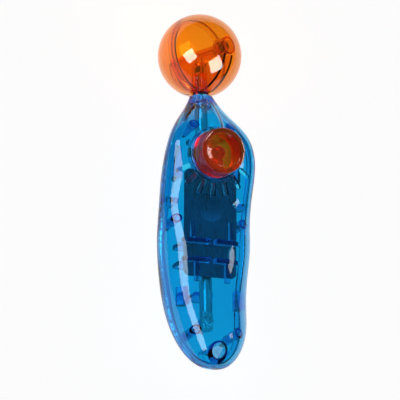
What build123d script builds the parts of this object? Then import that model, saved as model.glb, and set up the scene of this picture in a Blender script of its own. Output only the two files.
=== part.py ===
from build123d import *
from functools import cache
import os

os.makedirs("parts", exist_ok=True)

# A hand-held clicker trainer with a telescopic target stick and a ball tip, shown retracted.
# Working frame: Y runs from the tail tip (0) to the ball, Z is the side that the button faces, and the
# rod's axis is X = 0, Z = 0. Each piece is moved into the final frame as it is written.

# ---- driving dimensions, millimetres ----
HANDLE_L = 135.0        # tail tip to neck end
BALL_D = 40.0
NECK_GAP = 1.0          # neck end to the ball's lowest pole
WALL = 2.0              # handle shell
LIP_T = 1.0             # locating lip inside the parting line
LIP_H = 1.8
BUTTON_Y = 101.7        # where the button's axis meets the collar face
BUTTON_Z = 17.6
BUTTON_TILT = 8.0       # degrees, towards the tail
BUTTON_BASE_R = 11.3
BUTTON_TOP_R = 10.8
BUTTON_H = 9.2          # above the collar face
DISH_R = 8.6
DISH_DEPTH = 5.6
DISH_FLOOR_R = 4.2
COLLAR_R = 12.9
COLLAR_DEPTH = 4.3
BUTTON_PLAY = 0.4       # radial, button to collar
BUTTON_SKIRT = 3.0      # below the collar face
BUTTON_WALL = 1.7
BUTTON_ROUND = 1.1
DISH_ROUND = 0.3
DISH_FLOOR_ROUND = 1.5
SLOT_COUNT = 7
SLOT_PITCH = 21.0       # degrees
SLOT_RING_R = 16.8      # button axis to slot centre
SLOT_L = 7.0
SLOT_W = 2.2
PLATE_W = 26.0
PLATE_T = 0.5
PLATE_CORNER = 3.0
PLATE_START = 44.4      # clamped end
PLATE_END = 96.0        # end of the wide part
TONGUE_END = 107.0
TONGUE_W = 12.0
PLATE_PIVOT_Y = 56.5
PLATE_PIVOT_Z = 6.0
PLATE_SLOPE = 4.2       # degrees, rising towards the ball
PLATE_GAP = 0.45        # play between the plate and the bars that hold it
FIN_GAP = 0.9           # more play under the fins, where the plate rises as it flexes
LANYARD_Y = 6.8
LANYARD_R = 3.4
LANYARD_WALL = 1.3
TUBE_D = [6.0, 5.0, 4.1, 3.3, 2.5]      # fixed outer tube, then sections 1 to 4
TUBE_WALL = [0.30, 0.30, 0.25, 0.25, 0.25]
TIP_ROD_D = 1.7
TUBE_BASE = 28.5        # fixed tube's tail end
TUBE_MOUTH = 131.0      # fixed tube's mouth
MOUTH_STEP = 0.7        # each section stands this far out of the one around it
BASE_STEP = 1.0         # each section starts this far inside the one around it
FIRST_BASE = 32.6
SLEEVE_L = 8.0
RUNNING_GAP = 0.06      # radial, friction sleeve to the tube around it
LUG_L = 8.3
LUG_W = 4.9
SCREW_Y = 23.7
LUG_BOSS_R = 3.2
BALL_WALL = 1.8
BALL_LIP_R = 17.2
BALL_LIP_H = 1.2
SEAM_TURN = 24.5        # degrees that the ball's seam is turned about the rod
PUSHER_R = 3.2
PUSHER_END = -7.6
LEG_END = -5.6
HOOK_R = 12.5
DIMPLE_Y = 78.0
DIMPLE_R = 7.0
DIMPLE_H = 0.7
ROLL_L = 1.2            # rolled mouth of each tube
ROLL_PLAY = 0.08
PILOT_R = 1.15
SCREW_L = 7.5
SCREW_HEAD_R = 2.2
SCREW_HEAD_H = 1.5
SPIGOT_L = 3.0
HEAD_R = 2.2
HEAD_L = 3.2
HEAD_TOP = 5.7          # ball centre to the top of the head
HUB_R = 3.6
SOCKET_R = 4.2
SOCKET_BORE_R = 3.3
SOCKET_START = 12.5     # from the ball's middle
PIN_R = 2.0
PIN_Y = 0.7
PLUG_L = 3.0            # thick end of the pin, inside the socket
WEB_X = 2.2             # webs on both sides of the rod
WEB_T = 1.2
FIT = 0.15

BALL_R = BALL_D / 2
TOTAL_L = HANDLE_L + NECK_GAP + BALL_D
BALL_Y = HANDLE_L + NECK_GAP + BALL_R
BACK_FULLNESS = 0.5523  # Bezier handle length: 0.5523 is an ellipse, more is squarer
FRONT_FULLNESS = 0.6

# Handle stations: distance from the tail, half width, parting height, front rise, back drop.
TAIL_TIP = (0.0, 6.8)
STATIONS = [
    (2.0, 8.2, 5.8, 5.7, 4.2),
    (7.0, 13.1, 4.6, 10.4, 7.2),
    (14.0, 16.7, 2.8, 14.0, 9.5),
    (28.0, 19.8, -1.2, 15.6, 11.7),
    (48.0, 21.9, -2.8, 14.8, 12.7),
    (70.0, 22.9, -0.2, 12.6, 13.6),
    (92.0, 23.1, 6.2, 9.8, 14.8),
    (104.0, 22.2, 10.2, 8.4, 15.8),
    (114.0, 19.0, 9.8, 6.8, 15.0),
    (123.0, 13.2, 5.0, 6.8, 11.6),
    (130.0, 8.3, 1.8, 6.0, 8.8),
    (135.0, 5.6, 0.0, 5.4, 6.3),
]
# Nose ridge over the rod: distance from the tail, half width, centre height, half height.
RIDGE = [(88.0, 7.6, 6.0, 7.0), (104.0, 8.6, 9.0, 10.6), (114.0, 8.4, 8.0, 10.2),
         (124.0, 7.0, 4.4, 8.8), (135.0, 4.4, 0.0, 4.8)]
TAIL_ROUND = 20.0       # the tail is rounded up to this distance
CAVITY_END = 129.5      # the neck is solid beyond it
PARTING_LIFT = 0.5      # parting line above the widest line


def ring(y, half_width, middle, front, back):
    """Closed section of four quarter curves, flush at the parting height."""
    corners = []
    for sx, sz, rise, k in ((1, 1, front, FRONT_FULLNESS), (-1, 1, front, FRONT_FULLNESS),
                            (-1, -1, back, BACK_FULLNESS), (1, -1, back, BACK_FULLNESS)):
        side = (sx * half_width, y, middle)
        side_handle = (sx * half_width, y, middle + sz * rise * k)
        crown_handle = (sx * half_width * k, y, middle + sz * rise)
        crown = (0, y, middle + sz * rise)
        corners.append(Bezier(side, side_handle, crown_handle, crown))
    return Face(Wire(corners))


def body(inset):
    """The handle's smooth body, drawn in by inset; inset bodies stop where the neck becomes solid."""
    at_round = next(s for s in STATIONS if s[0] >= TAIL_ROUND)
    sections = [Vertex(0, TAIL_TIP[0] + inset, TAIL_TIP[1])]
    for y, width, middle, front, back in STATIONS:
        shift = inset * max(0.0, 1.0 - y / TAIL_ROUND)
        full = (at_round[1], at_round[3], at_round[4])
        size = []
        for value, limit in zip((width, front, back), full):
            share = 1.0 if y > TAIL_ROUND else min(1.0, value / limit)
            size.append(value - inset * share)
        sections.append(ring(y + shift, size[0], middle, size[1], size[2]))
    return loft(sections)


def ridge(inset):
    return loft([ring(y, w - inset, m, h - inset, h - inset) for y, w, m, h in RIDGE])


@cache
def filled(inset):
    """Everything inside the handle's skin, drawn in by inset."""
    whole = body(inset) + ridge(inset)
    if inset > 0:
        whole = whole & Box(80, CAVITY_END, 80, align=(Align.CENTER, Align.MIN, Align.CENTER))
    return whole


def parting_cutter(lift):
    """Solid above the parting surface, which is raised by lift."""
    line = [(TAIL_TIP[0] - 8, TAIL_TIP[1] + 3 + lift), (TAIL_TIP[0], TAIL_TIP[1] + lift)]
    line += [(s[0], s[2] + lift) for s in STATIONS] + [(HANDLE_L + 8, lift)]
    curve = Spline(*[(0, y, z) for y, z in line])
    roof = Polyline((0, line[-1][0], line[-1][1]), (0, line[-1][0], 60), (0, line[0][0], 60),
                    (0, line[0][0], line[0][1]))
    side = Face(Wire([curve, *roof.edges()]))
    return extrude(side, amount=40, both=True, dir=(1, 0, 0))


def placed(y, z, tilt):
    """Location on the rod's plane, tipped about X by tilt degrees."""
    return Location((0, y, z), (tilt, 0, 0))


def block(x0, x1, y0, y1, z0, z1):
    return Pos(x0, y0, z0) * Box(x1 - x0, y1 - y0, z1 - z0, align=(Align.MIN, Align.MIN, Align.MIN))


def rod(radius, y0, y1):
    """Round bar along the rod's axis."""
    return Pos(0, y0, 0) * Rot(-90, 0, 0) * pillar(radius, 0, 0, 0, y1 - y0)


def pillar(radius, x, y, z0, z1):
    return Pos(x, y, z0) * Cylinder(radius, z1 - z0, align=(Align.CENTER, Align.CENTER, Align.MIN))


BUTTON_AT = placed(BUTTON_Y, BUTTON_Z, BUTTON_TILT)
PLATE_AT = placed(PLATE_PIVOT_Y, PLATE_PIVOT_Z, PLATE_SLOPE)
POST_R = 2.3
POST_BORE_R = 1.4
POST_TIP_L = 2.5
POSTS = [(9.0, 116.5), (16.4, 71.5), (10.4, 16.5)]      # distance from the middle plane, from the tail
BARS = [61.0, 52.0]     # bars across the plate, from the tail
BAR_T = 2.0
BAR_GAP = 1.3           # half the gap between a bar's two sides
BAR_REACH = 14.5
CRADLE_T = 2.0
TUBE_PLAY = 0.05
FAR = 30.0              # beyond the handle on any side
TUBE_R = TUBE_D[0] / 2


def strip(side, near, far, y0, y1, z0, z1):
    """Block between two distances from the middle plane, on one side of it."""
    low, high = sorted((side * near, side * far))
    return block(low, high, y0, y1, z0, z1)


def bar(x0, x1, y, z0, z1):
    """Bar across the plate, in the plate's own frame; y is its distance from the tail."""
    low, high = sorted((x0, x1))
    middle = y - PLATE_PIVOT_Y
    return block(low, high, middle - BAR_T / 2, middle + BAR_T / 2, z0, z1)


def cradle(y, half_width):
    """Wall across the back shell, under the fixed tube."""
    return block(-half_width, half_width, y - CRADLE_T / 2, y + CRADLE_T / 2, -FAR, TUBE_R / 2)


def front_ribs():
    """Bars and fins that hold the clicker plate down, and the upper halves of the posts."""
    top = PLATE_T / 2 + PLATE_GAP
    made = []
    for side in (1, -1):
        for y in BARS:
            made.append(PLATE_AT * bar(side * BAR_GAP, side * BAR_REACH, y, top, FAR))
        made.append(PLATE_AT * strip(side, 8.4, 10.6, 6.0, 14.5, top + FIN_GAP, FAR))
        made.append(PLATE_AT * strip(side, 6.4, 8.6, -15.0, -5.0, top + FIN_GAP, FAR))
        made.append(strip(side, 12.0, 16.0, 29.5, 38.5, 3.0, FAR))
        for x, y in POSTS:
            made.append(pillar(POST_R, side * x, y, -FAR, FAR) - pillar(POST_BORE_R, side * x, y, -FAR, FAR))
    return made


def post_tips():
    """Pins on the back shell's posts that press into the front shell's."""
    pins = [pillar(POST_BORE_R - 0.05, side * x, y, 0, FAR) for x, y in POSTS for side in (1, -1)]
    return sum_of(pins) & filled(WALL) & parting_cutter(0) - parting_cutter(PARTING_LIFT + POST_TIP_L)


def back_ribs():
    """Cradles for the rod and the plate, guide walls, and the lower halves of the posts."""
    under = -PLATE_T / 2 - PLATE_GAP
    channel = rod(TUBE_R + TUBE_PLAY, 0, HANDLE_L) + block(-TUBE_R, TUBE_R, 0, HANDLE_L, 0, FAR)
    supports = cradle(38.0, 4.4) + cradle(112.0, 7.0)
    for y in BARS:
        supports += PLATE_AT * bar(-BAR_REACH + 2.5, BAR_REACH - 2.5, y, -FAR, under)
    made = [supports - channel]
    for side in (1, -1):
        made.append(strip(side, 12.4, 16.8, 93, 108, -FAR, 5))
        made.append(strip(side, 13.9, 21, 80.2, 82.7, -FAR, 7))
        for x, y in POSTS:
            made.append(pillar(POST_R, side * x, y, -FAR, FAR))
    made.append(pillar(LUG_BOSS_R, 0, SCREW_Y, -FAR, -LUG_W / 2))
    return made


def sum_of(shapes):
    total = shapes[0]
    for shape in shapes[1:]:
        total = total + shape
    return total


def through_holes():
    """The lanyard hole and the rod's way out through the neck."""
    return pillar(LANYARD_R, 0, LANYARD_Y, -FAR, FAR) + rod(TUBE_R + TUBE_PLAY, HANDLE_L / 2, HANDLE_L + 5)


def lanyard_boss(wall):
    return pillar(LANYARD_R + wall, 0, LANYARD_Y, -FAR, FAR)


def front_shell():
    above = parting_cutter(PARTING_LIFT)
    shell = (filled(0) - filled(WALL)) & above
    core = filled(WALL - 0.6) & above
    shell += core & lanyard_boss(LANYARD_WALL)
    shell += core & sum_of(front_ribs())
    collar = Cylinder(COLLAR_R, COLLAR_DEPTH, align=(Align.CENTER, Align.CENTER, Align.MAX))
    collar = fillet(collar.edges().group_by(Axis.Z)[-1], 0.5)
    shell += BUTTON_AT * collar
    shell -= BUTTON_AT * Cylinder(BUTTON_BASE_R + BUTTON_PLAY, 40)
    slot = extrude(SlotOverall(SLOT_L, SLOT_W), amount=14, both=True)
    for n in range(SLOT_COUNT):
        turn = -90 + SLOT_PITCH * (n - (SLOT_COUNT - 1) / 2)
        shell -= BUTTON_AT * Rot(0, 0, turn) * Pos(SLOT_RING_R, 0, 0) * slot
    return shell - through_holes()


def back_shell():
    above = parting_cutter(PARTING_LIFT)
    core = filled(WALL - 0.6) - above
    shell = (filled(0) - filled(WALL)) - above
    shell += core & lanyard_boss(LANYARD_WALL)
    shell += core & sum_of(back_ribs())
    shell += (filled(WALL - 0.4) - filled(WALL + LIP_T) - above) & parting_cutter(-2.5)
    lip = (filled(WALL + 0.1) - filled(WALL + LIP_T)) & parting_cutter(-1.0)
    lip = lip - parting_cutter(PARTING_LIFT + LIP_H) - lanyard_boss(LANYARD_WALL + 0.2)
    for x, y in POSTS:
        for side in (1, -1):
            lip = lip - pillar(POST_R + 0.1, side * x, y, -FAR, FAR)
    shell += lip
    shell += post_tips()
    shell -= pillar(PILOT_R, 0, SCREW_Y, -LUG_W / 2 - SCREW_L, 0)
    return shell - through_holes()


def dish(grow):
    """The thumb dish as a solid: a cone with a flat floor, grown on all sides but the top."""
    floor_z = BUTTON_H - DISH_DEPTH - grow
    outline = Polygon((0, floor_z), (DISH_FLOOR_R + grow / 2, floor_z), (DISH_R + grow, BUTTON_H),
                      (DISH_R + grow, BUTTON_H + 5), (0, BUTTON_H + 5), align=None)
    return revolve(Plane.XZ * outline, Axis.Z)


def button():
    """Hollow cap with a dished top, a pusher under its middle and three snap legs."""
    bottom = -BUTTON_SKIRT
    outline = Polygon((0, bottom), (BUTTON_BASE_R, bottom), (BUTTON_BASE_R, 0), (BUTTON_TOP_R, BUTTON_H),
                      (0, BUTTON_H), align=None)
    cap = revolve(Plane.XZ * outline, Axis.Z)
    rim = cap.edges().filter_by(GeomType.CIRCLE).sort_by(Axis.Z)[-1]
    cap = fillet(rim, BUTTON_ROUND) - dish(0)
    circles = cap.edges().filter_by(GeomType.CIRCLE)
    dish_edge = circles.sort_by(lambda edge: abs(edge.radius - DISH_R))[0]
    floor_edge = circles.sort_by(lambda edge: abs(edge.radius - DISH_FLOOR_R))[0]
    cap = fillet(floor_edge, DISH_FLOOR_ROUND)
    cap = fillet(dish_edge, DISH_ROUND)
    under = pillar(BUTTON_TOP_R - BUTTON_WALL, 0, 0, bottom, BUTTON_H - 1.2)
    cap -= under - dish(BUTTON_WALL)
    pusher = pillar(PUSHER_R, 0, 0, PUSHER_END, BUTTON_H - DISH_DEPTH - 0.6)
    cap += fillet(pusher.edges().group_by(Axis.Z)[0], 1.0)
    for turn in (0, 90, 180):
        leg = block(BUTTON_BASE_R - 1.6, BUTTON_BASE_R, -2, 2, LEG_END, bottom + 0.5)
        hook = block(BUTTON_BASE_R - 1.6, HOOK_R, -2, 2, LEG_END, -COLLAR_DEPTH - 0.15)
        cap += Rot(0, 0, turn) * (leg + hook)
    return BUTTON_AT * cap


def clicker_plate():
    """Spring-steel plate with rounded corners, a pressed dimple and a tongue under the button."""
    start = PLATE_START - PLATE_PIVOT_Y
    wide_end = PLATE_END - PLATE_PIVOT_Y
    tongue_end = TONGUE_END - PLATE_PIVOT_Y
    wide = Pos(0, (start + wide_end) / 2) * RectangleRounded(PLATE_W, wide_end - start, PLATE_CORNER)
    tongue_l = tongue_end - wide_end + 8
    tongue = Pos(0, tongue_end - tongue_l / 2) * RectangleRounded(TONGUE_W, tongue_l, PLATE_CORNER)
    plate = extrude(wide + tongue, amount=PLATE_T / 2, both=True)
    dome_r = (DIMPLE_R ** 2 + DIMPLE_H ** 2) / (2 * DIMPLE_H)
    at = Pos(0, DIMPLE_Y - PLATE_PIVOT_Y, PLATE_T / 2 + DIMPLE_H - dome_r)
    disc = Pos(0, DIMPLE_Y - PLATE_PIVOT_Y, 0) * Cylinder(DIMPLE_R, 10)
    raised = at * Sphere(dome_r) & disc & block(-20, 20, -20, 60, 0, 10)
    hollow = at * Sphere(dome_r - PLATE_T) & disc
    return PLATE_AT * (plate + raised - hollow)


def mouth(n):
    """Where tube n ends towards the ball: 0 is the fixed tube, 1 to 4 are the sections."""
    return TUBE_MOUTH + MOUTH_STEP * n


def base(n):
    """Where tube n starts; 5 is the tip rod."""
    return TUBE_BASE if n == 0 else FIRST_BASE + BASE_STEP * (n - 1)


def bore(n):
    return TUBE_D[n] / 2 - TUBE_WALL[n]


def inner_d(n):
    """Diameter of whatever slides inside tube n."""
    return TUBE_D[n + 1] if n + 1 < len(TUBE_D) else TIP_ROD_D


def tube(n):
    """Drawn tube whose mouth is rolled in to guide the next one and to stop its sleeve."""
    made = rod(TUBE_D[n] / 2, base(n), mouth(n)) - rod(bore(n), base(n) - 1, mouth(n) - ROLL_L)
    return made - rod(inner_d(n) / 2 + ROLL_PLAY, mouth(n) - ROLL_L - 1, mouth(n) + 1)


def sleeve(n):
    """Split brass sleeve at the base of section n, which rubs inside the tube around it."""
    inside = TIP_ROD_D / 2 if n == len(TUBE_D) else TUBE_D[n] / 2
    made = rod(bore(n - 1) - RUNNING_GAP, base(n) + 0.3, base(n) + SLEEVE_L)
    made -= rod(inside, base(n) - 1, mouth(n))
    return made - block(-0.3, 0.3, base(n) - 1, base(n) + SLEEVE_L + 1, 0, 10)


def base_lug():
    """Square lug whose spigot plugs the fixed tube."""
    half = LUG_W / 2
    lug = block(-half, half, TUBE_BASE - LUG_L, TUBE_BASE, -half, half)
    lug = chamfer(lug.edges().filter_by(Axis.Y), 0.4)
    lug += rod(bore(0) - 0.02, TUBE_BASE - 1, TUBE_BASE + SPIGOT_L)
    return lug - pillar(PILOT_R + 0.1, 0, SCREW_Y, -10, 10)


def base_screw():
    """Cross-head screw through the lug into the back shell."""
    top = LUG_W / 2
    head = pillar(SCREW_HEAD_R, 0, SCREW_Y, top, top + SCREW_HEAD_H)
    head = fillet(head.edges().group_by(Axis.Z)[-1], 0.5)
    cross = block(-1.3, 1.3, SCREW_Y - 0.3, SCREW_Y + 0.3, top + 0.6, top + 3)
    cross += block(-0.3, 0.3, SCREW_Y - 1.3, SCREW_Y + 1.3, top + 0.6, top + 3)
    return head - cross + pillar(PILOT_R - 0.05, 0, SCREW_Y, -LUG_W / 2 - SCREW_L + 0.6, top)


def tip_rod():
    return rod(TIP_ROD_D / 2, base(len(TUBE_D)), BALL_Y - HEAD_TOP - 0.6)


def tip_head():
    """Crimped cap that holds the ball on the rod and lets it turn."""
    cap = rod(HEAD_R, BALL_Y - HEAD_TOP - HEAD_L, BALL_Y - HEAD_TOP)
    cap = fillet(cap.edges().filter_by(GeomType.CIRCLE).sort_by(Axis.Y)[-1], 0.9)
    return cap - rod(TIP_ROD_D / 2, BALL_Y - 15, BALL_Y - HEAD_TOP - 0.6)


def ball_halves():
    """Two clear shells that meet on a plane through the rod.

    A pin across the ball plugs into a socket, and a pair of webs under it carries the rod's hub. The ball is
    drawn at the origin with the seam on Z = 0, then turned about the rod.
    """
    inner_r = BALL_R - BALL_WALL
    inside = Sphere(inner_r + 0.5)
    hub = rod(HUB_R, -BALL_R + 0.4, -HEAD_TOP + 1.4)
    hollow = rod(TIP_ROD_D / 2 + FIT, -BALL_R - 1, -HEAD_TOP)
    hollow += rod(HEAD_R + 0.2, -HEAD_TOP - HEAD_L - 0.2, -HEAD_TOP + 0.2)
    whole = Sphere(BALL_R) - Sphere(inner_r) + (hub & inside)
    for side in (1, -1):
        near, far = WEB_X - WEB_T / 2, WEB_X + WEB_T / 2
        web = strip(side, near, far, -BALL_R + 2.5, PIN_Y - PIN_R / 2, -BALL_R, SOCKET_START)
        web += strip(side, near, far, -BALL_R + 2.5, PIN_Y - SOCKET_R, 0, BALL_R)
        whole += web & inside
    front_side = block(-FAR, FAR, -FAR, FAR, 0, FAR)
    back = whole - front_side
    front = whole & front_side
    front += pillar(SOCKET_R, 0, PIN_Y, SOCKET_START, BALL_R) & inside
    front -= pillar(SOCKET_BORE_R, 0, PIN_Y, SOCKET_START - 1, inner_r - 0.4)
    front -= pillar(PIN_R + FIT, 0, PIN_Y, 0, SOCKET_START)
    back += pillar(PIN_R, 0, PIN_Y, -BALL_R, SOCKET_START + 0.5) & inside
    back += pillar(SOCKET_BORE_R - FIT, 0, PIN_Y, SOCKET_START + 0.5, SOCKET_START + PLUG_L)

    lip = pillar(inner_r - FIT, 0, 0, -2.5, BALL_LIP_H) - pillar(BALL_LIP_R, 0, 0, -3, 3)
    lip = lip & Sphere(inner_r - FIT)
    foot = (pillar(BALL_R, 0, 0, -2.5, 0) - pillar(BALL_LIP_R, 0, 0, -3, 3)) & inside
    cleared = WEB_X + WEB_T / 2 + 0.1
    lip = lip + foot - rod(HUB_R + 0.1, -BALL_R, -HEAD_TOP) - block(-cleared, cleared, -FAR, 0, 0, 3)
    back += lip

    turn = Pos(0, BALL_Y, 0) * Rot(0, SEAM_TURN, 0)
    return turn * (front - hollow), turn * (back - hollow)


def main():
    pieces = {
        "front_shell": front_shell(),
        "back_shell": back_shell(),
        "button": button(),
        "clicker_plate": clicker_plate(),
        "outer_tube": tube(0),
        "base_lug": base_lug(),
        "base_screw": base_screw(),
        "tip_rod": tip_rod(),
        "tip_head": tip_head(),
    }
    for n in range(1, len(TUBE_D)):
        pieces[f"section_{n}"] = tube(n)
    for n in range(1, len(TUBE_D) + 1):
        pieces[f"friction_sleeve_{n}"] = sleeve(n)
    pieces["ball_half_front"], pieces["ball_half_back"] = ball_halves()
    to_row_frame = Pos(0, -TOTAL_L / 2, BALL_R)
    for name, piece in pieces.items():
        export_step(to_row_frame * piece, f"parts/{name}.step")


main()
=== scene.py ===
import math

import bpy
from mathutils import Matrix, Vector


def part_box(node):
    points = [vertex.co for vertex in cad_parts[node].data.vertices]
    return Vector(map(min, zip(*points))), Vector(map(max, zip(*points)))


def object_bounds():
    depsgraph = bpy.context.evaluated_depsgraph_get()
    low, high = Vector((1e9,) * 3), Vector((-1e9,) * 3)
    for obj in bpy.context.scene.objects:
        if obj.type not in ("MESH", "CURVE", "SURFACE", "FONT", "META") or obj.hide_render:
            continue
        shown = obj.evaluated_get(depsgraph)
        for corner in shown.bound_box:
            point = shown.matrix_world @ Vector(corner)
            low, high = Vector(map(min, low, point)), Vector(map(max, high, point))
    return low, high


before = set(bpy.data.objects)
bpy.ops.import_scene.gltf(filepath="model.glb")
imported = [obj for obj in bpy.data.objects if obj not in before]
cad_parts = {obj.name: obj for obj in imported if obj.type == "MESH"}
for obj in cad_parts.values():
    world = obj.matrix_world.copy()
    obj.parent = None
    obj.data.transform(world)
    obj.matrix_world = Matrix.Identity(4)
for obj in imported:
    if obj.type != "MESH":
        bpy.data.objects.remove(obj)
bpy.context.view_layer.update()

# A clicker trainer with clear blue shells, a clear orange button and a clear orange ball. The pieces are the
# frame's own; this script gives them materials, a paper floor, lamps and a camera. Metres and degrees.

# ---- view ----
VIEW_TURN = 23.0        # camera off to the handle's left side
VIEW_TILT = 17.6        # camera towards the tail
VIEW_ROLL = 1.4
VIEW_DISTANCE = 2.0
VIEW_LENS = 378.0       # millimetres
SENSOR_WIDTH = 36.0     # millimetres
VIEW_REACH = 30.0
AIM = Vector((0.0068, 0.0028, 0.0002))

# ---- groups of pieces ----
SHELLS = ("front_shell", "back_shell")
BUTTON = ("button",)
UNLIT_INSIDE = ("outer_tube",)
INNER_PIECES = [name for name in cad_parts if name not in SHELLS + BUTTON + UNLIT_INSIDE]

# ---- clear plastics ----
PLASTIC_IOR = 1.49
FLOW_SCALE = 45.0       # slow waves left by moulding
FLOW_STRETCH = (1, 0.4, 1)
FLOW_STRENGTH = 0.1
FLOW_DEPTH = 0.0002
SCUFF_SCALE = 1400.0    # fine rubbing marks along the handle
SCUFF_STRETCH = (1, 0.12, 1)
SCUFF_ROUGHNESS = 0.04

# ---- metals ----
PATCH_SCALE = 70.0
PATCH_SHADE = 0.78
ROUGH_LEAST = 0.7       # share of a metal's roughness where its grain is smoothest
ROUGH_MOST = 1.4
GRAIN_STRENGTH = 0.3
GRAIN_DEPTH = 0.00003
DRAWN_GRAIN_DEPTH = 0.00001

# ---- studio ----
FLOOR_SIZE = 8.0
FLOOR_DROP = 0.0002
FLOOR_ROUGHNESS = 0.9
FLOOR_GREY = 0.25
FLOOR_GLOW = 0.96
WORLD_SEEN = 1.0        # strength where the camera looks at it, straight or through plastic
WORLD_REFLECTED = 0.05
BALL_RADIUS = 0.02
HANDLE_CENTRE = Vector((0, -0.03, 0.03))
FAR_LAMP = 1.2          # distance of the ball's lamps
NEAR_LAMP = 0.6         # distance of the handle's and the button's lamps
MAX_BOUNCES = 24
MAX_CLEAR_BOUNCES = 32

view_turn = (Matrix.Rotation(math.radians(VIEW_ROLL), 3, "Z")
             @ Matrix.Rotation(math.radians(-VIEW_TILT), 3, "X")
             @ Matrix.Rotation(math.radians(VIEW_TURN), 3, "Y")).transposed()


def seen_from_camera(x, y, z):
    """Direction in the row frame of one given as right, up and towards the camera."""
    return (view_turn @ Vector((x, y, z))).normalized()


# ---- node helpers ----

def new_material(name):
    mat = bpy.data.materials.new(name)
    mat.use_nodes = True
    mat.node_tree.nodes.clear()
    return mat, mat.node_tree


def node(tree, kind, **values):
    """New node; each value goes to the socket of that name or, if there is none, to the property."""
    made = tree.nodes.new(kind)
    for key, value in values.items():
        if key in made.inputs:
            made.inputs[key].default_value = value
        else:
            setattr(made, key, value)
    return made


def object_noise(tree, scale, detail=3.0, stretch=(1, 1, 1)):
    """Noise fixed to the object, in noise cells per metre, stretched along the row's axes."""
    coords = node(tree, "ShaderNodeTexCoord")
    mapping = node(tree, "ShaderNodeMapping", Scale=stretch)
    noise = node(tree, "ShaderNodeTexNoise", Scale=scale, Detail=detail)
    tree.links.new(coords.outputs["Object"], mapping.inputs["Vector"])
    tree.links.new(mapping.outputs["Vector"], noise.inputs["Vector"])
    return noise


def remap(tree, source, low, high, start=0.35, end=0.65):
    """Value that runs from low to high as the source runs from start to end."""
    made = node(tree, "ShaderNodeMapRange")
    made.inputs["From Min"].default_value = start
    made.inputs["From Max"].default_value = end
    made.inputs["To Min"].default_value = low
    made.inputs["To Max"].default_value = high
    tree.links.new(source, made.inputs["Value"])
    return made.outputs["Result"]


def bump(tree, height, strength, distance):
    made = node(tree, "ShaderNodeBump", Strength=strength, Distance=distance)
    tree.links.new(height, made.inputs["Height"])
    return made.outputs["Normal"]


# ---- materials ----

def clear_plastic(name, tint, density, shadow, base, clear=1.0):
    """Clear plastic, coloured by a tint at its surface and by the depth of material that light crosses."""
    mat, tree = new_material(name)
    shell = node(tree, "ShaderNodeBsdfPrincipled")
    shell.inputs["Base Color"].default_value = (*base, 1)
    shell.inputs["Transmission Weight"].default_value = clear
    shell.inputs["IOR"].default_value = PLASTIC_IOR
    flow = object_noise(tree, FLOW_SCALE, 1.0, FLOW_STRETCH)
    scuffs = object_noise(tree, SCUFF_SCALE, 4.0, SCUFF_STRETCH)
    tree.links.new(remap(tree, scuffs.outputs["Fac"], 0.0, SCUFF_ROUGHNESS), shell.inputs["Roughness"])
    tree.links.new(bump(tree, flow.outputs["Fac"], FLOW_STRENGTH, FLOW_DEPTH), shell.inputs["Normal"])
    passing = node(tree, "ShaderNodeBsdfTransparent", Color=(*shadow, 1))
    path = node(tree, "ShaderNodeLightPath")
    mix = node(tree, "ShaderNodeMixShader")
    out = node(tree, "ShaderNodeOutputMaterial")
    absorb = node(tree, "ShaderNodeVolumeAbsorption", Color=(*tint, 1), Density=density)
    tree.links.new(path.outputs["Is Shadow Ray"], mix.inputs[0])
    tree.links.new(shell.outputs[0], mix.inputs[1])
    tree.links.new(passing.outputs[0], mix.inputs[2])
    tree.links.new(mix.outputs[0], out.inputs["Surface"])
    tree.links.new(absorb.outputs[0], out.inputs["Volume"])
    return mat


def clear_blue():
    return clear_plastic("clear_blue", tint=(0.0, 0.778, 0.93), density=650.0, shadow=(0.7, 0.95, 1.0),
                         base=(0.15, 0.74, 0.88))


def clear_orange():
    return clear_plastic("clear_orange", tint=(0.98, 0.72, 0.0), density=750.0, shadow=(1.0, 0.9, 0.75),
                         base=(0.88, 0.70, 0.28))


def clear_orange_button():
    return clear_plastic("clear_orange_button", tint=(0.984, 0.66, 0.0), density=1600.0,
                         shadow=(1.0, 0.8, 0.6), base=(1.0, 0.34, 0.07), clear=0.95)


def metal(name, colour, rough, grain, stretch, depth=GRAIN_DEPTH):
    """Metal with a drawn or rolled grain in its roughness and relief, and paler and darker patches."""
    mat, tree = new_material(name)
    shader = node(tree, "ShaderNodeBsdfPrincipled", Metallic=1.0)
    grain_noise = object_noise(tree, grain, 5.0, stretch)
    patch = object_noise(tree, PATCH_SCALE)
    tone = node(tree, "ShaderNodeMix", data_type="RGBA")
    tone.inputs["A"].default_value = (*[c * PATCH_SHADE for c in colour], 1)
    tone.inputs["B"].default_value = (*colour, 1)
    roughness = remap(tree, grain_noise.outputs["Fac"], rough * ROUGH_LEAST, rough * ROUGH_MOST)
    relief = bump(tree, grain_noise.outputs["Fac"], GRAIN_STRENGTH, depth)
    tree.links.new(remap(tree, patch.outputs["Fac"], 0.0, 1.0), tone.inputs["Factor"])
    tree.links.new(tone.outputs["Result"], shader.inputs["Base Color"])
    tree.links.new(roughness, shader.inputs["Roughness"])
    tree.links.new(relief, shader.inputs["Normal"])
    out = node(tree, "ShaderNodeOutputMaterial")
    tree.links.new(shader.outputs[0], out.inputs["Surface"])
    return mat


def spring_steel():
    return metal("spring_steel", (0.06, 0.06, 0.1), rough=0.35, grain=1500.0, stretch=(1, 0.06, 1))


def chrome_tube():
    return metal("chrome_tube", (0.45, 0.46, 0.48), rough=0.25, grain=2500.0, stretch=(1, 0.03, 1),
                 depth=DRAWN_GRAIN_DEPTH)


def plated_lug():
    return metal("plated_lug", (0.45, 0.46, 0.48), rough=0.3, grain=1200.0, stretch=(1, 1, 1))


def blackened_steel():
    return metal("blackened_steel", (0.06, 0.06, 0.065), rough=0.35, grain=1200.0, stretch=(1, 1, 1))


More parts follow.
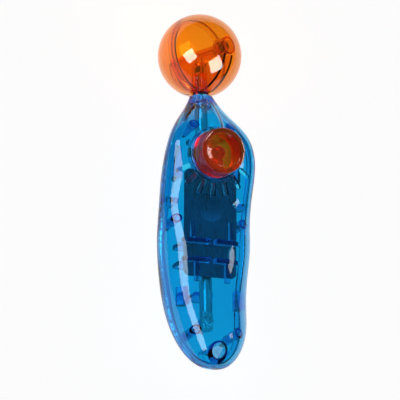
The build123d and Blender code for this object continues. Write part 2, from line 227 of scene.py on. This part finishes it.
def sleeve_brass():
    return metal("sleeve_brass", (0.72, 0.52, 0.22), rough=0.25, grain=1800.0, stretch=(0.1, 1, 0.1))


def pieces_starting(start):
    return [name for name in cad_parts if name.startswith(start)]


def paint(names, mat):
    for name in names:
        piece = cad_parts[name]
        piece.data.materials.clear()
        piece.data.materials.append(mat)
        for face in piece.data.polygons:
            face.material_index = 0


def finish_pieces():
    paint(SHELLS, clear_blue())
    paint(pieces_starting("ball_half_"), clear_orange())
    paint(BUTTON, clear_orange_button())
    paint(["clicker_plate"], spring_steel())
    paint(["outer_tube", "tip_rod"] + pieces_starting("section_"), chrome_tube())
    paint(["base_lug", "base_screw"], plated_lug())
    paint(["tip_head"], blackened_steel())
    paint(pieces_starting("friction_sleeve_"), sleeve_brass())


# ---- studio ----

def floor_paper():
    mat, tree = new_material("floor_paper")
    shader = node(tree, "ShaderNodeBsdfPrincipled", Roughness=FLOOR_ROUGHNESS)
    shader.inputs["Base Color"].default_value = (FLOOR_GREY, FLOOR_GREY, FLOOR_GREY, 1)
    shader.inputs["Emission Color"].default_value = (1, 1, 1, 1)
    shader.inputs["Emission Strength"].default_value = FLOOR_GLOW
    out = node(tree, "ShaderNodeOutputMaterial")
    tree.links.new(shader.outputs[0], out.inputs["Surface"])
    return mat


def add_floor():
    low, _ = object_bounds()
    half = FLOOR_SIZE / 2
    z = low[2] - FLOOR_DROP
    mesh = bpy.data.meshes.new("floor")
    corners = [(-half, -half, z), (half, -half, z), (half, half, z), (-half, half, z)]
    mesh.from_pydata(corners, [], [(0, 1, 2, 3)])
    mesh.materials.append(floor_paper())
    floor = bpy.data.objects.new("floor", mesh)
    bpy.context.scene.collection.objects.link(floor)


def light_only(lamp, names):
    group = bpy.data.collections.new(lamp.name + "_receivers")
    for name in names:
        group.objects.link(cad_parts[name])
    lamp.light_linking.receiver_collection = group


def add_softbox(name, target, direction, distance, size, radiance, roll, receivers):
    """Square or strip lamp that faces the target and lights only the receivers."""
    width, height = size
    lamp = bpy.data.lights.new(name, "AREA")
    lamp.shape = "RECTANGLE"
    lamp.size = width
    lamp.size_y = height
    lamp.energy = radiance * math.pi * width * height
    box = bpy.data.objects.new(name, lamp)
    facing = seen_from_camera(*direction)
    side = seen_from_camera(0, 1, 0).cross(facing).normalized()
    upright = Matrix((side, facing.cross(side), facing)).transposed()
    turned = upright @ Matrix.Rotation(math.radians(roll), 3, "Z")
    box.matrix_world = Matrix.Translation(target + facing * distance) @ turned.to_4x4()
    box.visible_camera = False
    bpy.context.scene.collection.objects.link(box)
    light_only(box, receivers)


def light_ball():
    """Two square lamps that the ball reflects as a pair."""
    _, high = (Vector(corner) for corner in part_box("ball_half_back"))
    centre = Vector((0, high.y - BALL_RADIUS, BALL_RADIUS))
    radiance = 14.0
    roll = 35.0
    for name, direction, edge in (("left_softbox", (-0.445, -0.023, 0.895), 0.64),
                                  ("right_softbox", (0.699, -0.383, 0.605), 0.76)):
        add_softbox(name, centre, direction, FAR_LAMP, (edge, edge), radiance, roll, INNER_PIECES)


def light_handle():
    """A long strip for the streak down the handle, and a small lamp for the spark on its right."""
    add_softbox("handle_strip", HANDLE_CENTRE, (-0.24, 0.25, 0.94), NEAR_LAMP, size=(0.25, 1.05),
                radiance=5.5, roll=17.0, receivers=SHELLS)
    add_softbox("right_kicker", HANDLE_CENTRE, (0.94, 0.17, 0.25), NEAR_LAMP, size=(0.09, 0.12),
                radiance=5.0, roll=20.0, receivers=SHELLS)


def light_button():
    add_softbox("button_right", HANDLE_CENTRE, (0.94, 0.21, 0.24), NEAR_LAMP, size=(0.12, 0.35),
                radiance=24.0, roll=0.0, receivers=BUTTON)
    add_softbox("button_upper", HANDLE_CENTRE, (0.2, 0.68, 0.69), NEAR_LAMP, size=(0.3, 0.15),
                radiance=18.0, roll=0.0, receivers=BUTTON)


def add_world():
    """White around the studio, but dim where it would show as a reflection."""
    world = bpy.data.worlds.new("studio")
    world.use_nodes = True
    tree = world.node_tree
    background = tree.nodes["Background"]
    background.inputs["Color"].default_value = (1, 1, 1, 1)
    path = node(tree, "ShaderNodeLightPath")
    seen = node(tree, "ShaderNodeMath", operation="MAXIMUM")
    tree.links.new(path.outputs["Is Camera Ray"], seen.inputs[0])
    tree.links.new(path.outputs["Is Transmission Ray"], seen.inputs[1])
    strength = remap(tree, seen.outputs[0], WORLD_REFLECTED, WORLD_SEEN, 0.0, 1.0)
    tree.links.new(strength, background.inputs["Strength"])
    bpy.context.scene.world = world


def add_camera():
    lens = bpy.data.cameras.new("camera")
    lens.lens = VIEW_LENS
    lens.sensor_width = SENSOR_WIDTH
    lens.clip_end = VIEW_REACH
    camera = bpy.data.objects.new("camera", lens)
    bpy.context.scene.collection.objects.link(camera)
    position = AIM + seen_from_camera(0, 0, 1) * VIEW_DISTANCE
    camera.matrix_world = Matrix.Translation(position) @ view_turn.to_4x4()
    bpy.context.scene.camera = camera


def set_light_paths():
    """Enough bounces for light to cross every wall of the clear shells and what is inside them."""
    scene = bpy.context.scene
    scene.view_settings.view_transform = "Standard"
    scene.cycles.max_bounces = MAX_BOUNCES
    scene.cycles.transmission_bounces = MAX_BOUNCES
    scene.cycles.transparent_max_bounces = MAX_CLEAR_BOUNCES


finish_pieces()
add_floor()
add_world()
light_ball()
light_handle()
light_button()
add_camera()
set_light_paths()
